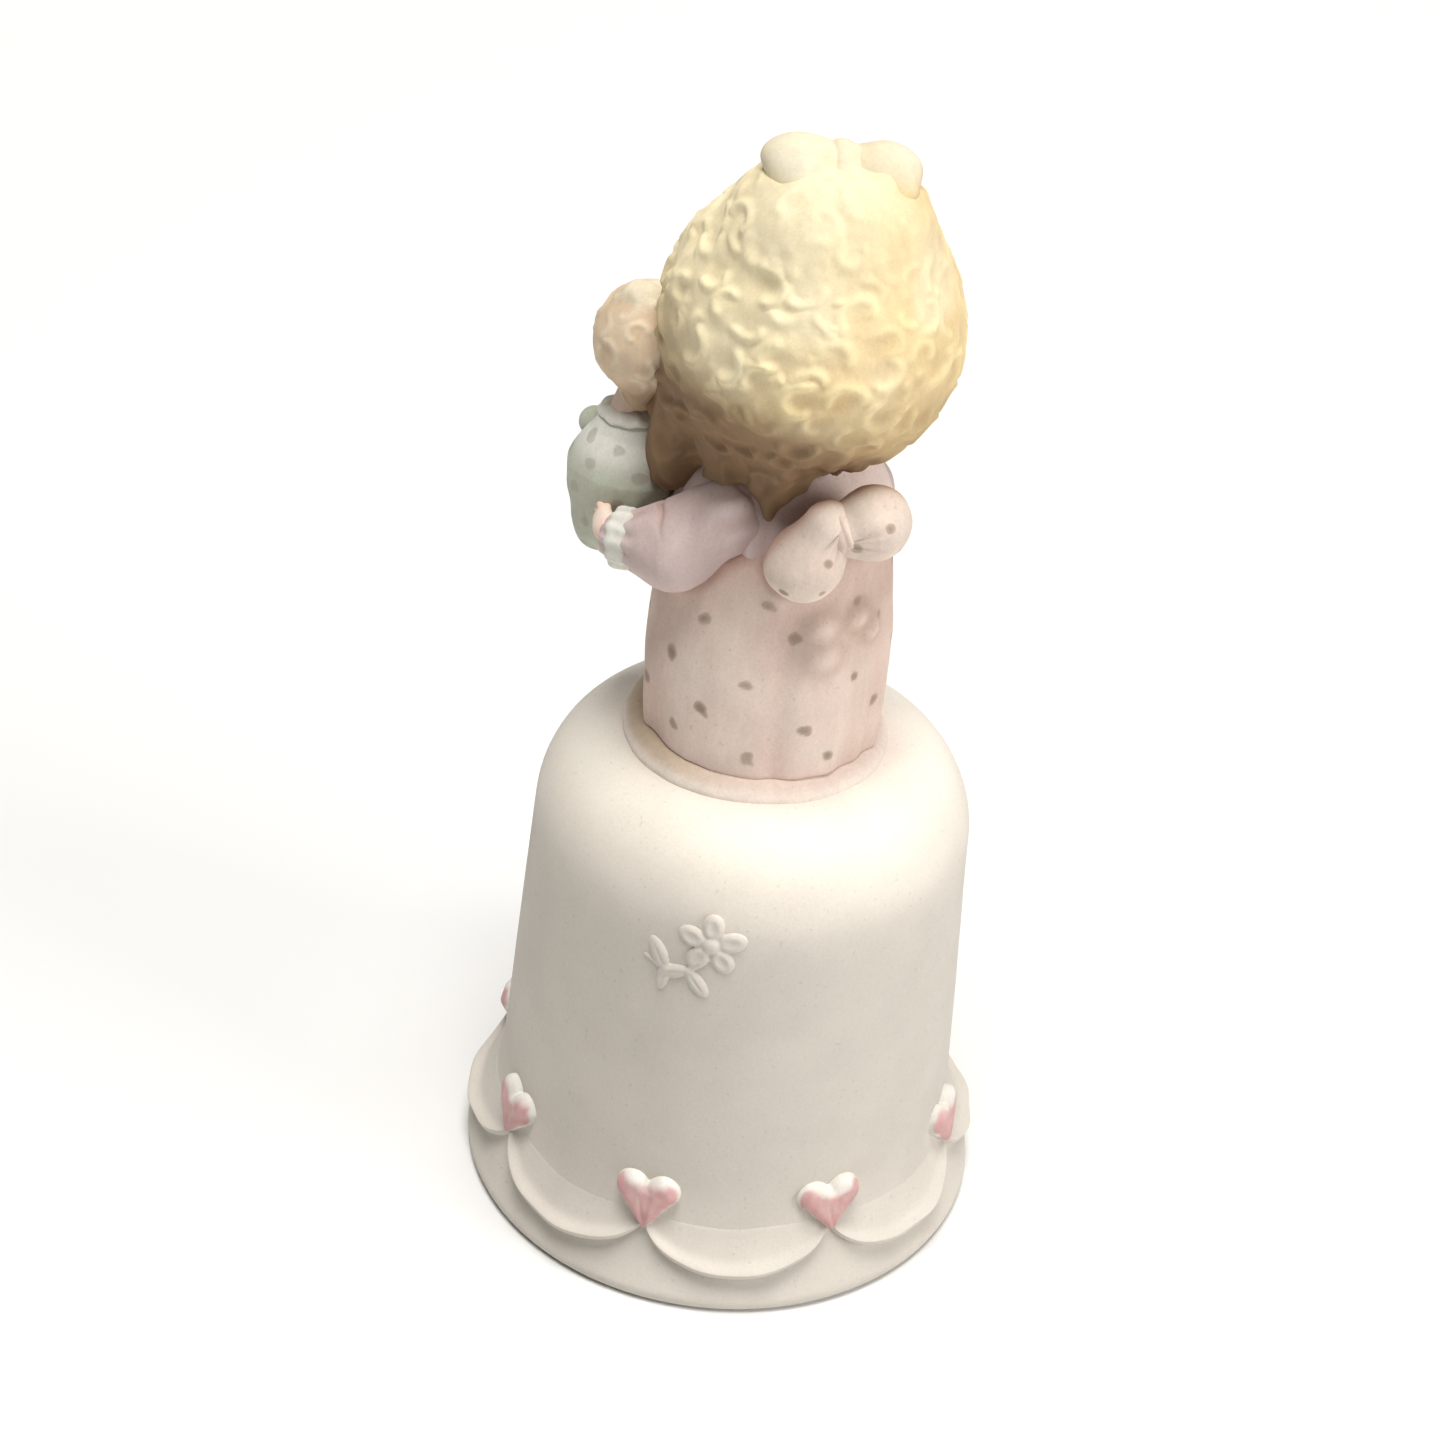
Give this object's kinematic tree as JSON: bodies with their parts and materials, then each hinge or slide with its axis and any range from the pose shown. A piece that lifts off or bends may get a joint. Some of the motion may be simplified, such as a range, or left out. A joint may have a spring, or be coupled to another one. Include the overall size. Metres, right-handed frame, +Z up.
{
  "type": "figurine hand bell",
  "caption": "Small porcelain hand bell with a flared skirt, heart and swag relief, a girl-with-doll figure as the handle and a hanging clapper.",
  "frame": {"origin": "centre of the mouth, on the plane the bell stands on", "axes": "+Z up along the bell's axis, -Y the way the figure faces, +X towards the figure's left hand and the doll"},
  "size_m": [0.064, 0.064, 0.1407],
  "materials": {
    "bell_bisque": "unglazed cream-white bisque",
    "heart_paint": "bisque painted dusty rose",
    "plinth_paint": "bisque painted pale rose brown",
    "dress_paint": "bisque painted pale rose with grey-brown dots",
    "bodice_paint": "bisque painted lilac rose",
    "white_paint": "bisque painted off-white",
    "skin_paint": "bisque painted skin",
    "hair_paint": "bisque painted blonde",
    "hair_bow_paint": "bisque painted cream",
    "back_bow_paint": "bisque painted cream rose with grey-brown dots",
    "sleeve_paint": "bisque painted lilac rose",
    "doll_skin_paint": "bisque painted tan",
    "doll_hair_paint": "bisque painted light brown",
    "doll_dress_paint": "bisque painted grey-green",
    "cement": "set plaster cement",
    "steel_wire": "drawn steel wire"
  },
  "bodies": {
    "bell": {"bell_shell": "bell_bisque", "heart_sprigs": "heart_paint", "swag_sprigs": "bell_bisque", "blossom_sprig": "bell_bisque", "figure_plinth": "plinth_paint", "dress_skirt": "dress_paint", "dress_bodice": "bodice_paint", "collar": "white_paint", "head": "skin_paint", "hair": "hair_paint", "hair_bow_left_loop": "hair_bow_paint", "hair_bow_right_loop": "hair_bow_paint", "hair_bow_knot": "hair_bow_paint", "back_bow_left_loop": "back_bow_paint", "back_bow_right_loop": "back_bow_paint", "back_bow_knot": "back_bow_paint", "left_sleeve": "sleeve_paint", "right_sleeve": "sleeve_paint", "left_cuff": "white_paint", "right_cuff": "white_paint", "left_hand": "skin_paint", "right_hand": "skin_paint", "doll_head": "doll_skin_paint", "doll_hair": "doll_hair_paint", "doll_collar": "white_paint", "doll_dress": "doll_dress_paint", "doll_arms": "doll_dress_paint", "doll_feet": "white_paint", "eye_cement": "cement", "clapper_eye": "steel_wire"},
    "hanger": {"hanger_link": "steel_wire"},
    "clapper": {"clapper_wire": "steel_wire", "clapper_bead": "bell_bisque", "bead_stop": "steel_wire"}
  },
  "joints": [
    {"name": "link_swing", "type": "hinge", "parent": "bell", "child": "hanger", "pos_m": [0, 0, 0.0507], "axis": [1, 0, 0], "range_deg": [-12, 12]},
    {"name": "clapper_swing", "type": "hinge", "parent": "hanger", "child": "clapper", "pos_m": [0, 0, 0.04538], "axis": [0, 1, 0], "range_deg": [-36, 36]}
  ]
}
